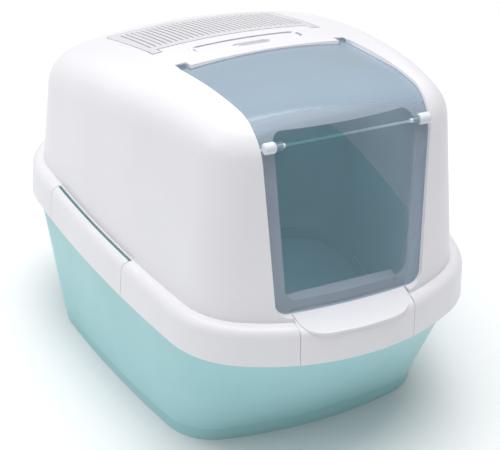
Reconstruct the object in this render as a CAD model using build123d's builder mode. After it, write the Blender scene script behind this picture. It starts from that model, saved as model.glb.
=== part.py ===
"""Hooded cat litter box, in millimetres.

A deep tray carries a lift-off hood.  The hood has a tinted visor that tips up about
its rear ears, a swing door hung from the visor's lower corners, a folding carrying
handle, a slatted filter cover on the roof and a rocking latch on each side.
The origin is the middle of the tray's underside; the entry faces -Y and +Z is up.
"""
import os
from math import cos, hypot, radians, sin

from build123d import *

# ---- overall size
WIDTH = 495.0
LENGTH = 620.0
HEIGHT = 470.0
WALL = 2.6                  # general moulded wall
FIT_GAP = 0.6               # joint line between two moulded pieces

# ---- plan outline of the hood's skirt at its widest line: four arcs with rounded corners
FRONT_CORNER = (0.376 * WIDTH, -0.392 * LENGTH)
REAR_CORNER = (0.502 * WIDTH, 0.445 * LENGTH)
SIDE_MIDDLE = 0.4685 * WIDTH
FRONT_RADIUS = 110.0
REAR_RADIUS = 120.0

# ---- skirt and ledge
SKIRT_Z = 182.0             # lower edge of the skirt
LEDGE_Z = 230.0             # flat ledge at the foot of the hood wall
SKIRT_TAPER = 4.0           # degrees
SKIRT_ROUND = 12.0
LEDGE_WIDTH = 17.0          # skirt edge to hood wall
APRON_INSET = 11.8          # drip apron that hangs inside the tray's lip
APRON_Z = 189.0

# ---- hood wall and roof
WALL_START_Z = 215.0
WALL_TAPER = 6.5            # degrees
SHOULDER_RADIUS = 50.0
ROOF_LINE = [(-330, 450), (-165, HEIGHT), (-18, 450.5), (69, 433), (221, 393.5), (330, 363)]
CROWN_SPAN = 260.0          # half-width over which the roof's crown is drawn
CROWN_DROP = 34.0           # fall of the crown at that half-width

# ---- front recess that takes the visor and the door
FACE_REAR = (60.0, 431.0)   # points of the recess's side profile (Y, Z)
FACE_CREST = (-160.0, 464.0)
FACE_BROW = (-239.8, 462.0)
FACE_FOOT = (-275.5, 190.0)
BROW_RADIUS = 50.0
CREST_RADIUS = 320.0
FACE_SPAN = 140.0           # half-width over which the face's bulge is drawn
FACE_BULGE = 7.0            # bulge at the middle, and fall at the span
RECESS_WIDTH = 96.0         # half-width = this + slope_y * y + slope_z * z
RECESS_SLOPE_Y = 0.045
RECESS_SLOPE_Z = 0.0450
RECESS_FOOT_Z = 236.0
RECESS_DEPTH = 5.4          # visor's outer face to the recess floor
PANE = 2.4                  # visor and door thickness
CORNER_RADIUS = 16.0

# ---- visor and door pivots
VISOR_AXIS = (-18.0, 440.5)
VISOR_REAR_Y = -31.5
EAR_INNER = 101.0
VISOR_POCKET_DEPTH = 12.0   # pocket under each visor ear, from the visor's outer face
VISOR_POCKET_OUTER = 114.2
DOOR_AXIS = (-243.6, 441.1)
DOOR_AXIS_TILT = 32.0       # degrees, direction of the joint line between visor and door
DOOR_JOINT_GAP = 1.5        # each side of the pivot plane
STUD_INNER = 89.0           # inner end of the studs that carry the door
STUD_LENGTH = 14.5
STUD_RADIUS = 6.6
EYELET_INNER = 81.0

# ---- doorway
DOORWAY_FOOT_Z = 250.0
DOORWAY_HEAD_Z = 450.0
DOORWAY_FOOT_HALF = 79.0
DOORWAY_HEAD_HALF = 89.0

# ---- entry sill
SILL_HALF = 75.0
TONGUE_RISE = 1.8           # scoop pad above the sill
SILL_LIP_Z = 220.4          # top of the tray's lip under the sill
SILL_LINE = [(-330, 213), (-306, 223), (-270, 234.2), (-236, 238)]

# ---- tray
BASE_FRONT = -204.0
BASE_REAR = 228.0
BASE_FRONT_CORNER = (166.0, -178.0)
BASE_REAR_CORNER = (228.0, 200.0)
BASE_SIDE_MIDDLE = 206.0
BASE_FRONT_RADIUS = 72.0
BASE_REAR_RADIUS = 85.0
FOOT_HEIGHT = 20.0
FOOT_STEP = 3.0
LIP_INSET = 8.5
LIP_START_Z = 186.0
LIP_TOP_Z = 224.0

# ---- roof recess, filter cover and basket
COVER_FRONT_Y = 74.0
COVER_REAR_Y = 221.0
COVER_FRONT_HALF = 117.0
COVER_REAR_HALF = 124.0
COVER_AXIS = (62.0, 424.4)
COVER_THICK = 2.5
COVER_RECESS = 5.2
COVER_EAR_INNER = 105.0
COVER_POCKET_DEPTH = 10.2   # pocket under each cover ear, from the roof
BASKET_SIZE = (180.0, 104.0)
BASKET_CENTRE_Y = 147.0
BASKET_DEPTH = 20.0
SLAT_COUNT = 30
SLAT_PITCH = 7.4
SLAT_GAP = 1.9

# ---- carrying handle
HANDLE_SIZE = (140.0, 27.0)
HANDLE_CENTRE_Y = 27.0
HANDLE_THICK = 5.5
HANDLE_RECESS = 11.6
HANDLE_AXIS = (37.0, 436.0)
HANDLE_CLEARANCE = 3.0
SCOOP_SIZE = (44.0, 20.0)   # finger scoop in front of the handle
SCOOP_CENTRE_Y = 11.0

# ---- side latches
LATCH_FRONT_Y = -88.0
LATCH_REAR_Y = 120.0
LATCH_SLIT = 4.2
LATCH_AXIS_Z = 212.0
LATCH_AXIS_INSET = 5.4
LATCH_LIP_Z = 220.0         # top of the tray's lip beside a latch


def circle_through(p, q, r):
    """Centre and radius of the circle through three points."""
    (x1, y1), (x2, y2), (x3, y3) = p, q, r
    a = x1 * (y2 - y3) - y1 * (x2 - x3) + x2 * y3 - x3 * y2
    s1, s2, s3 = x1 * x1 + y1 * y1, x2 * x2 + y2 * y2, x3 * x3 + y3 * y3
    cx = (s1 * (y2 - y3) + s2 * (y3 - y1) + s3 * (y1 - y2)) / (2 * a)
    cy = (s1 * (x3 - x2) + s2 * (x1 - x3) + s3 * (x2 - x1)) / (2 * a)
    return cx, cy, hypot(x1 - cx, y1 - cy)


def meeting_point(first, second, near):
    """Crossing of two circles (centre x, centre y, radius) that lies nearest a point."""
    (ax, ay, ar), (bx, by, br) = first, second
    span = hypot(bx - ax, by - ay)
    along = (ar ** 2 - br ** 2 + span ** 2) / (2 * span)
    across = (ar ** 2 - along ** 2) ** 0.5
    ux, uy = (bx - ax) / span, (by - ay) / span
    crossings = [(ax + along * ux - s * across * uy, ay + along * uy + s * across * ux) for s in (-1, 1)]
    return min(crossings, key=lambda c: hypot(c[0] - near[0], c[1] - near[1]))


def egg_plan(z, inset, front_y, front_corner, side_x, rear_corner, rear_y, front_radius, rear_radius):
    """Rounded plan of four arcs at height z, every arc moved inwards by inset."""
    mirrored = [(-x, y) for x, y in (front_corner, rear_corner)]
    arcs = []
    for p, q, r in ((mirrored[0], (0, front_y), front_corner), (front_corner, (side_x, 0), rear_corner),
                    (mirrored[1], (0, rear_y), rear_corner)):
        cx, cy, radius = circle_through(p, q, r)
        arcs.append((cx, cy, radius - inset))
    front, side, rear = arcs
    fx, fy = meeting_point(front, side, front_corner)
    rx, ry = meeting_point(rear, side, rear_corner)
    middle_x = side[0] + (side[2] ** 2 - side[1] ** 2) ** 0.5
    with BuildSketch(Plane.XY.offset(z), mode=Mode.PRIVATE) as outline:
        with BuildLine():
            ThreePointArc((-fx, fy), (0, front_y + inset), (fx, fy))
            ThreePointArc((fx, fy), (middle_x, 0), (rx, ry))
            ThreePointArc((rx, ry), (0, rear_y - inset), (-rx, ry))
            ThreePointArc((-rx, ry), (-middle_x, 0), (-fx, fy))
        make_face()
        fillet(outline.vertices().group_by(Axis.Y)[0], front_radius - inset)
        fillet(outline.vertices().group_by(Axis.Y)[-1], rear_radius - inset)
    return outline.sketch


def plan(z, inset=0.0):
    """Plan of the skirt, moved to height z and inset."""
    return egg_plan(z, inset, -LENGTH / 2, FRONT_CORNER, SIDE_MIDDLE, REAR_CORNER, LENGTH / 2,
                    FRONT_RADIUS, REAR_RADIUS)


def base_plan(z, grow=0.0):
    """Plan of the tray's foot, moved to height z and grown outwards."""
    return egg_plan(z, -grow, BASE_FRONT, BASE_FRONT_CORNER, BASE_SIDE_MIDDLE, BASE_REAR_CORNER,
                    BASE_REAR, BASE_FRONT_RADIUS, BASE_REAR_RADIUS)


def roof_block(drop=0.0):
    """Everything below the crowned roof surface, lowered by drop."""
    sections = []
    for x in (-CROWN_SPAN, 0, CROWN_SPAN):
        fall = drop + CROWN_DROP * (x / CROWN_SPAN) ** 2
        line = [(y, z - fall) for y, z in ROOF_LINE]
        with BuildSketch(Plane.YZ.offset(x), mode=Mode.PRIVATE) as section:
            with BuildLine():
                Spline(*line)
                Polyline(line[-1], (line[-1][0], 120), (line[0][0], 120), line[0])
            make_face()
        sections.append(section.sketch)
    with BuildPart(mode=Mode.PRIVATE) as block:
        loft(sections)
    return block.part


def face_block(depth=0.0):
    """Everything behind the visor and door surface, sunk by depth."""
    sections = []
    for x in (-FACE_SPAN, 0, FACE_SPAN):
        swell = FACE_BULGE * (1 - 2 * (x / FACE_SPAN) ** 2)
        with BuildSketch(Plane.YZ.offset(x), mode=Mode.PRIVATE) as section:
            with BuildLine():
                Polyline(FACE_REAR, FACE_CREST, FACE_BROW, FACE_FOOT, (60, 190), close=True)
            make_face()
            crest = section.vertices().sort_by_distance(Vector(*FACE_CREST))[0]
            fillet(crest, CREST_RADIUS)
            brow = section.vertices().sort_by_distance(Vector(*FACE_BROW))[0]
            fillet(brow, BROW_RADIUS)
            offset(amount=swell - depth, kind=Kind.INTERSECTION)
        sections.append(section.sketch)
    with BuildPart(mode=Mode.PRIVATE) as block:
        loft(sections)
    return block.part


def roof_band(prism, top_drop, bottom_drop):
    """The stretch of an upright prism between two drops below the roof surface."""
    with BuildPart(mode=Mode.PRIVATE) as band:
        add(prism)
        add(roof_block(top_drop), mode=Mode.INTERSECT)
        add(roof_block(bottom_drop), mode=Mode.SUBTRACT)
    return band.part


def recess_half(y, z):
    """Half-width of the front recess at a point of its side walls."""
    return RECESS_WIDTH + RECESS_SLOPE_Y * y + RECESS_SLOPE_Z * z


def recess_prism(margin, rear_y):
    """Tapering prism that bounds the visor and the door from the front."""
    front_y, top_z = -330.0, 520.0
    sections = []
    for z in (RECESS_FOOT_Z - margin, top_z):
        near = recess_half(front_y, z) + margin
        far = recess_half(rear_y, z) + margin
        with BuildSketch(Plane.XY.offset(z), mode=Mode.PRIVATE) as section:
            with BuildLine():
                Polyline((-near, front_y), (near, front_y), (far, rear_y), (-far, rear_y), close=True)
            make_face()
        sections.append(section.sketch)
    with BuildPart(mode=Mode.PRIVATE) as prism:
        loft(sections, ruled=True)
        foot_edges = prism.faces().sort_by(Axis.Z)[0].edges().sort_by(Axis.X)
        fillet([foot_edges[0], foot_edges[-1]], CORNER_RADIUS + margin)
    return prism.part


def ear_prism(margin, low_y, high_y, inner, outer, low_z, high_z):
    """Pair of upright blocks at the two ears of a hinged cover."""
    with BuildPart(mode=Mode.PRIVATE) as prism:
        for side in (-1, 1):
            with Locations((side * (inner + outer) / 2, (low_y + high_y) / 2, (low_z + high_z) / 2)):
                Box(outer - inner + 2 * margin, high_y - low_y + 2 * margin, high_z - low_z)
    return prism.part


def cross_rod(axis, radius, inner, outer):
    """Pair of coaxial rods along X, one on each side."""
    y, z = axis
    with BuildPart(mode=Mode.PRIVATE) as rods:
        for side in (-1, 1):
            with Locations(Plane((side * (inner + outer) / 2, y, z), z_dir=(1, 0, 0))):
                Cylinder(radius, outer - inner)
    return rods.part


def cover_prism(margin, front_y=COVER_FRONT_Y):
    """Upright prism round the filter cover's plan."""
    rear = COVER_REAR_Y + margin
    front = front_y - margin
    with BuildSketch(Plane.XY.offset(300), mode=Mode.PRIVATE) as outline:
        with BuildLine():
            Polyline(
                (-COVER_FRONT_HALF - margin, front), (COVER_FRONT_HALF + margin, front),
                (COVER_REAR_HALF + margin, rear), (-COVER_REAR_HALF - margin, rear), close=True)
        make_face()
        fillet(outline.vertices().group_by(Axis.Y)[-1], 7)
    with BuildPart(mode=Mode.PRIVATE) as prism:
        extrude(outline.sketch, amount=200)
    return prism.part


def rounded_prism(size, centre_y, radius, margin=0.0):
    """Upright prism with a rounded rectangular plan, tall enough to cross the roof."""
    with BuildSketch(Plane.XY.offset(300), mode=Mode.PRIVATE) as outline:
        with Locations((0, centre_y)):
            RectangleRounded(size[0] + 2 * margin, size[1] + 2 * margin, radius)
    with BuildPart(mode=Mode.PRIVATE) as prism:
        extrude(outline.sketch, amount=200)
    return prism.part


def skirt_side_x(y, inset):
    """X of the skirt's side arc at y."""
    cx, cy, radius = circle_through(FRONT_CORNER, (SIDE_MIDDLE, 0), REAR_CORNER)
    return cx + ((radius - inset) ** 2 - (y - cy) ** 2) ** 0.5


def latch_window(side, grow, low_z, high_z):
    """Block that bounds one side latch's stretch of the skirt."""
    low_y = LATCH_FRONT_Y - grow
    high_y = LATCH_REAR_Y + grow
    with BuildPart(mode=Mode.PRIVATE) as window:
        with Locations((side * 240, (low_y + high_y) / 2, (low_z + high_z) / 2)):
            Box(120, high_y - low_y, high_z - low_z)
    return window.part


def latch_pin(side, radius, overhang, inside=9.0):
    """Pair of short rods at the two ends of a latch, on its straight rocking axis."""
    start = Vector(side * skirt_side_x(LATCH_FRONT_Y, LATCH_AXIS_INSET), LATCH_FRONT_Y, LATCH_AXIS_Z)
    stop = Vector(side * skirt_side_x(LATCH_REAR_Y, LATCH_AXIS_INSET), LATCH_REAR_Y, LATCH_AXIS_Z)
    along = (stop - start).normalized()
    length = inside + overhang
    with BuildPart(mode=Mode.PRIVATE) as pins:
        for end, outward in ((start, along * -1), (stop, along)):
            middle = end + outward * (overhang - inside) / 2
            with Locations(Plane(middle, z_dir=outward)):
                Cylinder(radius, length)
    return pins.part


# ---- shared bodies: outer and inner shells of the hood wall and of the skirt
wall_bodies = []
for inset, drop in ((0.0, 0.0), (WALL, WALL)):
    with BuildPart() as wall_body:
        extrude(plan(WALL_START_Z, LEDGE_WIDTH + inset), amount=290, taper=WALL_TAPER)
        add(roof_block(drop), mode=Mode.INTERSECT)
        rim = wall_body.edges().filter_by(lambda e: e.bounding_box().min.Z > 300)
        fillet(rim, SHOULDER_RADIUS - inset)
    wall_bodies.append(wall_body.part)
wall_outer, wall_inner = wall_bodies

skirt_bodies = []
for inset in (0.0, WALL):
    with BuildPart() as skirt_body:
        extrude(plan(SKIRT_Z - inset, inset), amount=LEDGE_Z - SKIRT_Z, taper=SKIRT_TAPER)
        fillet(skirt_body.faces().sort_by(Axis.Z)[-1].edges(), SKIRT_ROUND - inset)
    skirt_bodies.append(skirt_body.part)
skirt_outer, skirt_inner = skirt_bodies


os.makedirs("parts", exist_ok=True)


def keep(piece, label):
    """Label a finished sub-part and write it out."""
    piece.label = label
    export_step(piece, f"parts/{label}.step")


# ---- tray: foot, sloping wall and an upright lip that runs inside the skirt
with BuildPart() as tray:
    extrude(base_plan(0), amount=FOOT_HEIGHT)
    loft([base_plan(FOOT_HEIGHT, FOOT_STEP), plan(LIP_START_Z, LIP_INSET)], ruled=True)
    extrude(plan(LIP_START_Z, LIP_INSET), amount=LIP_TOP_Z - LIP_START_Z)
    extrude(base_plan(WALL, -WALL), amount=FOOT_HEIGHT, mode=Mode.SUBTRACT)
    loft([base_plan(FOOT_HEIGHT + WALL, FOOT_STEP - WALL), plan(LIP_START_Z, LIP_INSET + WALL)],
         ruled=True, mode=Mode.SUBTRACT)
    extrude(plan(LIP_START_Z, LIP_INSET + WALL), amount=60, mode=Mode.SUBTRACT)
    # the lip is cut lower where the entry sill crosses it
    with Locations((0, -300, SILL_LIP_Z + 10)):
        Box(2 * SILL_HALF + 4, 40, 20, mode=Mode.SUBTRACT)
    # and beside each latch, whose upper edge rocks in over it
    for side in (-1, 1):
        add(latch_window(side, 3.0, LATCH_LIP_Z, LIP_TOP_Z + 10), mode=Mode.SUBTRACT)
keep(tray.part, "tray")


# ---- entry sill: bridges the tray's front lip between the skirt's two front joints
def sill_block(inset):
    lower = SKIRT_Z - inset
    line = [(y, z - inset) for y, z in SILL_LINE]
    rear_y = line[-1][0] - inset
    with BuildPart() as block:
        with BuildSketch(Plane.YZ):
            with BuildLine():
                Polyline(*line[:-1], (rear_y, line[-1][1]), (rear_y, lower), (-330, lower), close=True)
            make_face()
        extrude(amount=SILL_HALF - FIT_GAP / 2, both=True)
        extrude(plan(lower, inset), amount=80, taper=SKIRT_TAPER, mode=Mode.INTERSECT)
        front_edge = block.edges().filter_by(
            lambda e: e.center().Z > 200 and e.center().Y < -290 and e.bounding_box().size.X > 50)
        fillet(front_edge, 9 - inset)
    return block.part


def sill_tongue():
    """Raised scoop-shaped pad on the sill, whose front edge stands proud of the sill's rounded brow."""
    half = [(0, -309.4), (30, -308.2), (55, -304.0), (67, -295), (72.5, -280), (73.2, -268)]
    with BuildSketch(Plane.XY.offset(SKIRT_Z)) as outline:
        with BuildLine():
            Spline(*[(-x, y) for x, y in reversed(half[1:])], *half)
            Line(half[-1], (-half[-1][0], half[-1][1]))
        make_face()
    with BuildPart() as pad:
        with BuildSketch(Plane.YZ):
            with BuildLine():
                top = [(y, z + TONGUE_RISE) for y, z in SILL_LINE]
                base = [(y, z - WALL / 2) for y, z in reversed(SILL_LINE)]
                Polyline(*top, *base, close=True)
            make_face()
        extrude(amount=SILL_HALF, both=True)
        add(extrude(outline.sketch, amount=80, mode=Mode.PRIVATE), mode=Mode.INTERSECT)
    return pad.part


tongue = sill_tongue()
with BuildPart() as entry_sill:
    add(sill_block(0.0))
    add(sill_block(WALL), mode=Mode.SUBTRACT)
    add(tongue)
    with Locations((0, -225, SKIRT_Z)):
        Box(2 * SILL_HALF, 40, 2 * (LIP_START_Z + 22 - SKIRT_Z), mode=Mode.SUBTRACT)
keep(entry_sill.part, "entry_sill")


# ---- hood: skirt, wall, roof, front recess with the doorway, roof recess and handle pocket
recess_rear_y = VISOR_REAR_Y + 3.0
cover_recess_y = COVER_FRONT_Y - 1.9
visor_ears = (VISOR_REAR_Y - 2, VISOR_AXIS[0] + 6.2)
cover_ears = (COVER_AXIS[0] - 7.2, COVER_FRONT_Y + 6)
pocket = rounded_prism(HANDLE_SIZE, HANDLE_CENTRE_Y, 13, HANDLE_CLEARANCE)
pocket += rounded_prism(SCOOP_SIZE, SCOOP_CENTRE_Y, 9)
pocket_skin = rounded_prism(HANDLE_SIZE, HANDLE_CENTRE_Y, 13, HANDLE_CLEARANCE + WALL)
pocket_skin += rounded_prism(SCOOP_SIZE, SCOOP_CENTRE_Y, 9, WALL)
cover_pocket_outer = COVER_FRONT_HALF + FIT_GAP
hood_cuts = [
    recess_prism(FIT_GAP, recess_rear_y) - face_block(RECESS_DEPTH),
    cover_prism(FIT_GAP, cover_recess_y) - roof_block(COVER_RECESS),
    pocket - roof_block(HANDLE_RECESS),
    ear_prism(0, *visor_ears, EAR_INNER - 1.2, VISOR_POCKET_OUTER, 380, 480) - face_block(VISOR_POCKET_DEPTH),
    ear_prism(0, *cover_ears, COVER_EAR_INNER - 1.2, cover_pocket_outer, 380, 480)
    - roof_block(COVER_POCKET_DEPTH),
]
hood_liners = [
    recess_prism(FIT_GAP + WALL, recess_rear_y + WALL) - face_block(RECESS_DEPTH + WALL),
    cover_prism(FIT_GAP + WALL, cover_recess_y) - roof_block(COVER_RECESS + WALL),
    pocket_skin - roof_block(HANDLE_RECESS + WALL),
    ear_prism(WALL, *visor_ears, EAR_INNER - 1.2, VISOR_POCKET_OUTER + 4.2, 380, 480)
    - face_block(VISOR_POCKET_DEPTH + WALL),
    ear_prism(WALL, *cover_ears, COVER_EAR_INNER - 1.2, cover_pocket_outer + 3.8, 380, 480)
    - roof_block(COVER_POCKET_DEPTH + WALL),
]
latch_wall_guard = extrude(plan(SKIRT_Z - 1, LEDGE_WIDTH), amount=90)
latch_lip_guard = extrude(plan(SKIRT_Z - 1, LIP_INSET - 0.9), amount=90)

with BuildPart() as latch_bay:
    for side in (-1, 1):
        add(latch_window(side, FIT_GAP / 2, SKIRT_Z - 1, LEDGE_Z + 3))
    add(latch_wall_guard, mode=Mode.SUBTRACT)

with BuildPart() as apron:
    extrude(plan(APRON_Z, APRON_INSET), amount=LEDGE_Z - 1 - APRON_Z)
    extrude(plan(APRON_Z, APRON_INSET + WALL), amount=60, mode=Mode.SUBTRACT)
    for side in (-1, 1):
        add(latch_window(side, 2.0, LATCH_LIP_Z, LEDGE_Z + 3), mode=Mode.SUBTRACT)

with BuildPart() as latch_cheeks:
    for side in (-1, 1):
        add(latch_window(side, FIT_GAP / 2 + WALL, SKIRT_Z + 6, LEDGE_Z))
        add(latch_window(side, FIT_GAP / 2, SKIRT_Z, LEDGE_Z + 1), mode=Mode.SUBTRACT)
    add(skirt_outer, mode=Mode.INTERSECT)
    add(latch_lip_guard, mode=Mode.SUBTRACT)

with BuildPart() as hood_cavity:
    add(wall_inner)
    for liner in hood_liners:
        add(liner, mode=Mode.SUBTRACT)

with BuildPart() as hood:
    add(skirt_outer)
    add(wall_outer)
    add(skirt_inner, mode=Mode.SUBTRACT)
    add(hood_cavity.part, mode=Mode.SUBTRACT)
    for cut in hood_cuts:
        add(cut, mode=Mode.SUBTRACT)
    # doorway through the recess floor
    with BuildSketch(Plane.XZ.offset(190)):
        with BuildLine():
            Polyline((-DOORWAY_FOOT_HALF, DOORWAY_FOOT_Z), (DOORWAY_FOOT_HALF, DOORWAY_FOOT_Z),
                     (DOORWAY_HEAD_HALF, DOORWAY_HEAD_Z), (-DOORWAY_HEAD_HALF, DOORWAY_HEAD_Z),
                     close=True)
        doorway_face = make_face()
        fillet(doorway_face.vertices(), 14)
    extrude(amount=120, mode=Mode.SUBTRACT)
    # open bays for the side latches, and the drip apron that runs on behind them
    add(latch_bay.part, mode=Mode.SUBTRACT)
    add(apron.part)
    # bay for the entry sill: the whole skirt front and the wall foot between its joints
    with Locations((0, -270, SKIRT_Z)):
        Box(2 * (SILL_HALF + FIT_GAP / 2), 160, 2 * (RECESS_FOOT_Z + 3.0 - SKIRT_Z), mode=Mode.SUBTRACT)
    # vent under the filter cover
    add(rounded_prism(BASKET_SIZE, BASKET_CENTRE_Y, 8, 2.0), mode=Mode.SUBTRACT)
    # pin holes of the visor, the filter cover and the handle
    add(cross_rod(VISOR_AXIS, 2.55, 100, 121), mode=Mode.SUBTRACT)
    add(cross_rod(COVER_AXIS, 1.55, 104, 123), mode=Mode.SUBTRACT)
    add(cross_rod(HANDLE_AXIS, 1.55, 60, 76.4), mode=Mode.SUBTRACT)
    # cheeks at the ends of the latch bays, which carry the latches' pins
    add(latch_cheeks.part)
    for side in (-1, 1):
        add(latch_pin(side, 1.55, 4.0), mode=Mode.SUBTRACT)
keep(hood.part, "hood")


# ---- visor: a curved pane with two rear ears and a lug at each lower corner
pane = face_block() - face_block(PANE)
pivot_plane = Plane(
    (0, *DOOR_AXIS), x_dir=(1, 0, 0),
    z_dir=(0, sin(radians(DOOR_AXIS_TILT)), cos(radians(DOOR_AXIS_TILT))))
visor_ear_pane = pane & recess_prism(-FIT_GAP - 0.6, VISOR_AXIS[0] + 5)
visor_ear_pane &= ear_prism(0, VISOR_REAR_Y - 6, VISOR_AXIS[0] + 5, EAR_INNER, 112.8, 420, 470)
with BuildPart() as visor:
    add(pane)
    add(recess_prism(-FIT_GAP, VISOR_REAR_Y), mode=Mode.INTERSECT)
    split(bisect_by=pivot_plane.offset(DOOR_JOINT_GAP), keep=Keep.TOP)
    add(visor_ear_pane)
    add(cross_rod(VISOR_AXIS, 4.2, EAR_INNER, 112.5))
    add(cross_rod(VISOR_AXIS, 2.5, 112, 116.8))
    add(cross_rod(DOOR_AXIS, 5.4, EYELET_INNER - 0.5, STUD_INNER), mode=Mode.SUBTRACT)
    add(cross_rod(DOOR_AXIS, STUD_RADIUS, STUD_INNER, 112), mode=Mode.SUBTRACT)
keep(visor.part, "visor")


# ---- swing door: hangs from an eyelet at each upper corner
with BuildPart() as swing_door:
    add(pane)
    add(recess_prism(-FIT_GAP - 0.6, VISOR_REAR_Y), mode=Mode.INTERSECT)
    split(bisect_by=pivot_plane.offset(-DOOR_JOINT_GAP), keep=Keep.BOTTOM)
    add(cross_rod(DOOR_AXIS, STUD_RADIUS + 1.0, STUD_INNER - 0.5, 116), mode=Mode.SUBTRACT)
    add(cross_rod(DOOR_AXIS, 4.8, EYELET_INNER, STUD_INNER - 1.0))
    add(cross_rod(DOOR_AXIS, 2.55, EYELET_INNER - 5, STUD_INNER + 7), mode=Mode.SUBTRACT)
keep(swing_door.part, "swing_door")


# ---- studs that carry the door on the visor
for side, name in ((-1, "door_stud_left"), (1, "door_stud_right")):
    with BuildPart() as stud:
        with Locations(Plane((side * (STUD_INNER + STUD_LENGTH / 2), *DOOR_AXIS), z_dir=(side, 0, 0))):
            Cylinder(STUD_RADIUS, STUD_LENGTH)
        fillet(stud.edges(), 2.8)
        with Locations(Plane((side * (STUD_INNER - 5), *DOOR_AXIS), z_dir=(side, 0, 0))):
            Cylinder(2.5, 12)
    keep(stud.part, name)


# ---- filter cover: a slatted lid flush with the roof, hinged on two front ears
cover_ear_block = ear_prism(
    0, COVER_AXIS[0] - 4, COVER_FRONT_Y + 4, COVER_EAR_INNER, COVER_FRONT_HALF - 1.2, 380, 470)
with BuildPart() as filter_cover:
    add(roof_band(cover_prism(-FIT_GAP), 0.0, COVER_THICK))
    with Locations((0, (COVER_FRONT_Y + COVER_REAR_Y) / 2, 400)):
        with GridLocations(SLAT_PITCH, 1, SLAT_COUNT, 1):
            Box(SLAT_GAP, COVER_REAR_Y - COVER_FRONT_Y - 30, 200, mode=Mode.SUBTRACT)
    add(roof_band(cover_ear_block, 0.0, COVER_THICK))
    add(cross_rod(COVER_AXIS, 3.0, COVER_EAR_INNER, 115.4))
    add(cross_rod(COVER_AXIS, 1.5, 115, 119.6))
keep(filter_cover.part, "filter_cover")


# ---- filter basket and its carbon pad
with BuildPart() as filter_basket:
    flange = rounded_prism(BASKET_SIZE, BASKET_CENTRE_Y, 12, margin=8.0)
    add(roof_band(flange, COVER_THICK + 0.5, COVER_RECESS - 0.3))
    add(roof_band(rounded_prism(BASKET_SIZE, BASKET_CENTRE_Y, 8), COVER_THICK + 0.5, BASKET_DEPTH))
    bowl = rounded_prism(BASKET_SIZE, BASKET_CENTRE_Y, 6, margin=-2.0)
    add(roof_band(bowl, COVER_THICK, BASKET_DEPTH - 2.0), mode=Mode.SUBTRACT)
    with Locations((0, BASKET_CENTRE_Y, 400)):
        with GridLocations(15, 1, 11, 1):
            Box(7, BASKET_SIZE[1] - 24, 200, mode=Mode.SUBTRACT)
keep(filter_basket.part, "filter_basket")

with BuildPart() as carbon_filter:
    pad = rounded_prism(BASKET_SIZE, BASKET_CENTRE_Y, 6, margin=-2.6)
    add(roof_band(pad, COVER_RECESS + 2.0, BASKET_DEPTH - 2.3))
keep(carbon_filter.part, "carbon_filter")


# ---- carrying handle: a strap that folds flat into its pocket
with BuildPart() as carry_handle:
    strap = rounded_prism(HANDLE_SIZE, HANDLE_CENTRE_Y, 10)
    add(roof_band(strap, 1.2, 1.2 + HANDLE_THICK))
    add(rounded_prism((52, 16), HANDLE_CENTRE_Y - 13, 7.9), mode=Mode.SUBTRACT)
    add(cross_rod(HANDLE_AXIS, 1.5, 66, 75.4))
keep(carry_handle.part, "carry_handle")


# ---- side latches: the skirt's own section over each bay, rocking on two end pins
for side, name in ((-1, "side_latch_left"), (1, "side_latch_right")):
    with BuildPart() as latch:
        add(skirt_outer)
        add(skirt_inner, mode=Mode.SUBTRACT)
        add(latch_window(side, -FIT_GAP, SKIRT_Z - 1, LEDGE_Z + 20), mode=Mode.INTERSECT)
        extrude(plan(SKIRT_Z - 1, LEDGE_WIDTH - LATCH_SLIT), amount=80, mode=Mode.SUBTRACT)
        add(latch_pin(side, 1.5, 2.6))
    keep(latch.part, name)
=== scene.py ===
"""Looks of the hooded cat litter box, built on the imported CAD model. Lengths are in metres."""
import math

import bpy
from mathutils import Matrix, Vector

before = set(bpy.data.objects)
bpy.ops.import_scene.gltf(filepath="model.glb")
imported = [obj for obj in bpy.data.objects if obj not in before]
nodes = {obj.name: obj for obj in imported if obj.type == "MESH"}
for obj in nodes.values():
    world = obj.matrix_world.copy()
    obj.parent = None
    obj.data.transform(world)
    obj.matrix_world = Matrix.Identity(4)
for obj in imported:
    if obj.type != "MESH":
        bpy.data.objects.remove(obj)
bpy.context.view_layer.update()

MIX_COLOUR_A = 6        # colour sockets of the Mix node
MIX_COLOUR_B = 7
MIX_COLOUR_RESULT = 2


def add_node(tree, kind, settings=None, **inputs):
    """A shader node with its settings and plain inputs set; names use _ for spaces."""
    node = tree.nodes.new(kind)
    for key, value in (settings or {}).items():
        setattr(node, key, value)
    for key, value in inputs.items():
        node.inputs[key.replace("_", " ")].default_value = value
    return node


def new_material(name):
    """An empty node material with its output, and its object coordinates as a socket."""
    material = bpy.data.materials.new(name)
    material.use_nodes = True
    tree = material.node_tree
    tree.nodes.clear()
    output = tree.nodes.new("ShaderNodeOutputMaterial")
    place = tree.nodes.new("ShaderNodeTexCoord").outputs["Object"]
    return material, tree, output, place


def noise(tree, place, scale, detail=3.0, rough=0.5, stretch=None):
    """Fractal noise over the object, optionally stretched along its axes."""
    if stretch is not None:
        mapping = add_node(tree, "ShaderNodeMapping", Scale=stretch)
        tree.links.new(place, mapping.inputs["Vector"])
        place = mapping.outputs["Vector"]
    node = add_node(tree, "ShaderNodeTexNoise", Scale=scale, Detail=detail, Roughness=rough)
    tree.links.new(place, node.inputs["Vector"])
    return node.outputs["Fac"]


def ramp(tree, source, low, high, start=0.35, stop=0.65):
    """Maps a value between start and stop to one between low and high."""
    node = tree.nodes.new("ShaderNodeMapRange")
    node.inputs["From Min"].default_value = start
    node.inputs["From Max"].default_value = stop
    node.inputs["To Min"].default_value = low
    node.inputs["To Max"].default_value = high
    tree.links.new(source, node.inputs["Value"])
    return node.outputs["Result"]


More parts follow.
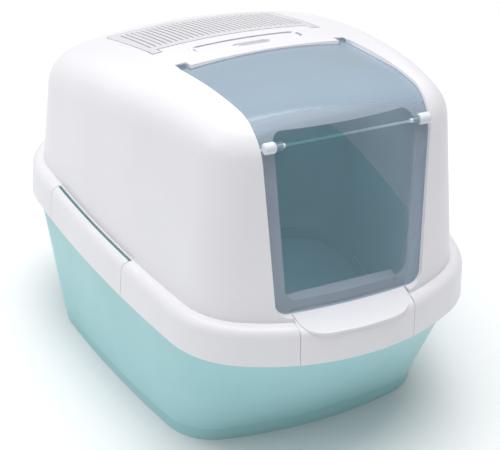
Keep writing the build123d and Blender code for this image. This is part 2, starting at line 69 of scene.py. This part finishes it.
def mixed(tree, factor, first, second):
    """Mix of two colours, each given as a tuple or a socket, by a factor."""
    node = add_node(tree, "ShaderNodeMix", {"data_type": "RGBA"})
    tree.links.new(factor, node.inputs["Factor"])
    for index, value in ((MIX_COLOUR_A, first), (MIX_COLOUR_B, second)):
        if isinstance(value, tuple):
            node.inputs[index].default_value = (*value, 1.0)
        else:
            tree.links.new(value, node.inputs[index])
    return node.outputs[MIX_COLOUR_RESULT]


def bumped(tree, height, strength, distance, below=None):
    """A bump from a height socket, on top of another normal where one is given."""
    node = add_node(tree, "ShaderNodeBump", Strength=strength, Distance=distance)
    tree.links.new(height, node.inputs["Height"])
    if below is not None:
        tree.links.new(below, node.inputs["Normal"])
    return node.outputs["Normal"]


def moulded_plastic(name, colour, shade, worn, roughness=0.34):
    """Injection-moulded plastic: fine spark-eroded grain, slow flow waviness, faint dust and scuffs."""
    material, tree, output, place = new_material(name)
    shader = add_node(tree, "ShaderNodeBsdfPrincipled", IOR=1.48, Specular_IOR_Level=0.45)
    clouds = noise(tree, place, 7.0, 4.0, 0.55)
    scuffs = noise(tree, place, 90.0, 5.0, 0.7, stretch=(1.0, 0.25, 1.0))
    tone = mixed(tree, ramp(tree, clouds, 0.0, 1.0), colour, shade)
    tone = mixed(tree, ramp(tree, scuffs, 0.0, 0.12, 0.58, 0.8), tone, worn)
    tree.links.new(tone, shader.inputs["Base Color"])

    gloss = add_node(tree, "ShaderNodeMath", {"operation": "ADD"})
    tree.links.new(ramp(tree, clouds, roughness - 0.05, roughness + 0.05), gloss.inputs[0])
    tree.links.new(ramp(tree, scuffs, -0.01, 0.04, 0.55, 0.8), gloss.inputs[1])
    tree.links.new(gloss.outputs[0], shader.inputs["Roughness"])

    waviness = noise(tree, place, 16.0, 1.0, 0.4)
    grain = noise(tree, place, 260.0, 2.0, 0.6)
    normal = bumped(tree, waviness, 0.05, 0.004)
    normal = bumped(tree, grain, 0.35, 0.00035, normal)
    tree.links.new(normal, shader.inputs["Normal"])
    tree.links.new(shader.outputs[0], output.inputs["Surface"])
    return material


def mixed_shader(tree, factor, first, second):
    """Two shader nodes mixed by a factor."""
    node = tree.nodes.new("ShaderNodeMixShader")
    tree.links.new(factor, node.inputs[0])
    tree.links.new(first.outputs[0], node.inputs[1])
    tree.links.new(second.outputs[0], node.inputs[2])
    return node


def tinted_pane(name, tint, haze):
    """Clear tinted plastic sheet: it dims and tints what is behind it and mirrors the lights."""
    material, tree, output, place = new_material(name)
    clear = tree.nodes.new("ShaderNodeBsdfTransparent")
    clouds = noise(tree, place, 5.0, 3.0, 0.5)
    deeper = tuple(c * 0.94 for c in tint)
    tree.links.new(mixed(tree, ramp(tree, clouds, 0.0, 1.0), tint, deeper), clear.inputs["Color"])

    surface = add_node(tree, "ShaderNodeBsdfPrincipled", IOR=1.5, Specular_IOR_Level=0.6,
                       Base_Color=(*haze, 1.0))
    streaks = noise(tree, place, 60.0, 4.0, 0.65, stretch=(1.0, 0.2, 0.25))
    tree.links.new(ramp(tree, streaks, 0.05, 0.16), surface.inputs["Roughness"])
    ripple = noise(tree, place, 22.0, 2.0, 0.5)
    tree.links.new(bumped(tree, ripple, 0.08, 0.003), surface.inputs["Normal"])

    # the surface shows a little everywhere, and more where the sheet is seen at a slant
    slant = add_node(tree, "ShaderNodeFresnel", IOR=1.42)
    share = add_node(tree, "ShaderNodeMath", {"operation": "MULTIPLY_ADD"})
    share.inputs[1].default_value = 0.85
    share.inputs[2].default_value = 0.07
    tree.links.new(slant.outputs[0], share.inputs[0])
    sheet = mixed_shader(tree, share.outputs[0], clear, surface)

    # only the camera sees the tint, so the light of the room reaches what is behind the sheet
    nearly_clear = add_node(tree, "ShaderNodeBsdfTransparent", Color=(0.94, 0.95, 0.96, 1.0))
    path = tree.nodes.new("ShaderNodeLightPath")
    seen = mixed_shader(tree, path.outputs["Is Camera Ray"], nearly_clear, sheet)
    tree.links.new(seen.outputs[0], output.inputs["Surface"])
    return material


def felt(name):
    """Fleece over charcoal: matted pale fibres."""
    material, tree, output, place = new_material(name)
    shader = add_node(tree, "ShaderNodeBsdfPrincipled", Roughness=0.95)
    fibres = noise(tree, place, 420.0, 5.0, 0.75, stretch=(1.0, 0.35, 1.0))
    tone = mixed(tree, ramp(tree, fibres, 0.0, 1.0), (0.42, 0.43, 0.45), (0.6, 0.61, 0.63))
    tree.links.new(tone, shader.inputs["Base Color"])
    tree.links.new(bumped(tree, fibres, 0.8, 0.0012), shader.inputs["Normal"])
    tree.links.new(shader.outputs[0], output.inputs["Surface"])
    return material


WHITE = moulded_plastic("white_moulded", (0.86, 0.86, 0.895), (0.835, 0.835, 0.87), (0.78, 0.78, 0.81))
AQUA = moulded_plastic("aqua_moulded", (0.41, 0.71, 0.735), (0.385, 0.68, 0.705), (0.47, 0.73, 0.745), 0.38)
PALE = moulded_plastic("knuckle_moulded", (0.74, 0.79, 0.84), (0.68, 0.74, 0.8), (0.8, 0.83, 0.86), 0.22)
GREY = moulded_plastic("grille_moulded", (0.76, 0.76, 0.79), (0.72, 0.72, 0.75), (0.8, 0.8, 0.82), 0.3)
TINT = tinted_pane("tinted_sheet", tint=(0.655, 0.705, 0.75), haze=(0.5, 0.6, 0.68))
FELT = felt("filter_fleece")

FINISH = {
    "tray": AQUA, "entry_sill": WHITE, "hood": WHITE, "visor": TINT, "swing_door": TINT,
    "door_stud_left": PALE, "door_stud_right": PALE, "filter_cover": GREY, "filter_basket": WHITE,
    "carbon_filter": FELT, "carry_handle": WHITE, "side_latch_left": WHITE, "side_latch_right": WHITE,
}
for name, material in FINISH.items():
    mesh = nodes[name].data
    mesh.materials.clear()
    mesh.materials.append(material)

# ---- floor and surroundings
bpy.ops.mesh.primitive_plane_add(size=40, location=(0, 0, 0))
floor = bpy.context.object
floor.name = "floor"
floor_material, floor_tree, floor_output, _ = new_material("floor_paint")
paint = add_node(floor_tree, "ShaderNodeBsdfPrincipled", Roughness=0.85, Base_Color=(0.93, 0.93, 0.94, 1.0))
floor_tree.links.new(paint.outputs[0], floor_output.inputs["Surface"])
floor.data.materials.append(floor_material)

scene = bpy.context.scene
scene.view_settings.view_transform = "Standard"
scene.world = bpy.data.worlds.new("studio")
scene.world.use_nodes = True
background = scene.world.node_tree.nodes["Background"]
background.inputs["Color"].default_value = (1.0, 1.0, 1.0, 1.0)
background.inputs["Strength"].default_value = 0.34


# ---- lights
def soft_light(name, place, aim, size, power):
    """A square softbox at place, turned to aim; power is in watts."""
    data = bpy.data.lights.new(name, "AREA")
    data.shape = "SQUARE"
    data.size = size
    data.energy = power
    lamp = bpy.data.objects.new(name, data)
    scene.collection.objects.link(lamp)
    lamp.location = place
    lamp.visible_camera = False
    lamp.rotation_euler = (Vector(aim) - Vector(place)).to_track_quat("-Z", "Y").to_euler()


soft_light("overhead", place=(-0.1, 0.2, 4.5), aim=(0, 0, 0.3), size=4.0, power=205)
soft_light("left_side", place=(-2.8, 0.2, 1.6), aim=(0, 0, 0.25), size=1.8, power=10)
soft_light("inside_glow", place=(-0.02, 0.02, 0.375), aim=(0.03, 0.0, 0.0), size=0.22, power=0.35)

# ---- camera: it looks at the target from a distance, turned about the upright, raised and rolled
CAMERA_TARGET = Vector((-0.0156, -0.0318, 0.2056))
CAMERA_DISTANCE = 1.7323
CAMERA_AZIMUTH = math.radians(-25.09)
CAMERA_ELEVATION = math.radians(31.55)
CAMERA_ROLL = math.radians(1.45)
camera_data = bpy.data.cameras.new("camera")
camera_data.sensor_width = 36.0     # millimetres, like the lens
camera_data.lens = 95.0
camera_data.shift_x = -0.0034
camera_data.shift_y = -0.0004
camera = bpy.data.objects.new("camera", camera_data)
scene.collection.objects.link(camera)
back = Vector((
    math.sin(CAMERA_AZIMUTH) * math.cos(CAMERA_ELEVATION),
    -math.cos(CAMERA_AZIMUTH) * math.cos(CAMERA_ELEVATION),
    math.sin(CAMERA_ELEVATION)))
level_right = back.cross(Vector((0, 0, -1))).normalized()
level_up = back.cross(level_right).normalized()
right = level_right * math.cos(CAMERA_ROLL) + level_up * math.sin(CAMERA_ROLL)
up = level_up * math.cos(CAMERA_ROLL) - level_right * math.sin(CAMERA_ROLL)
turn = Matrix((right, up, back)).transposed()
camera.matrix_world = Matrix.Translation(CAMERA_TARGET + back * CAMERA_DISTANCE) @ turn.to_4x4()
scene.camera = camera
